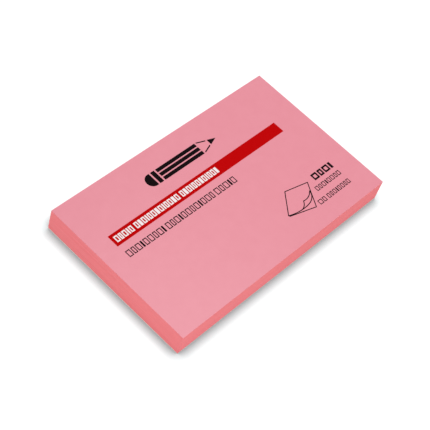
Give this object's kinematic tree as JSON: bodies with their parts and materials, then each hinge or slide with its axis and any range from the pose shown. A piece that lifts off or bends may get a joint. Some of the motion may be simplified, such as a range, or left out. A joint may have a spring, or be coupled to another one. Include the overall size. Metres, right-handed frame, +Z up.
{
  "type": "sticky note pad",
  "caption": "Rectangular pad of pink sticky notes, glued along one long edge, with a printed cover sheet on top and a release backing sheet below.",
  "frame": {"origin": "middle of the underside of the backing sheet", "axes": "+X along the long edge and the printed rows, +Y to the long edge where the notes are glued, +Z up out of the cover"},
  "size_m": [0.127, 0.076, 0.012],
  "materials": {
    "backing_paper": "smooth release-coated paper",
    "adhesive": "thin tacky film",
    "note_edges": "stack of guillotined sheet edges",
    "cover_paper": "uncoated matt",
    "red_ink": "offset ink on uncoated paper",
    "white_ink": "offset ink on uncoated paper",
    "dark_ink": "offset ink on uncoated paper"
  },
  "bodies": {
    "root": {"backing_sheet": "backing_paper", "base_adhesive": "adhesive", "note_block": "note_edges", "cover_adhesive": "adhesive", "cover_sheet": "cover_paper", "colour_band": "red_ink", "title_row": "white_ink", "subtitle_row": "dark_ink", "corner_rows": "dark_ink", "pencil_mark": "dark_ink", "note_mark": "dark_ink"}
  },
  "joints": []
}
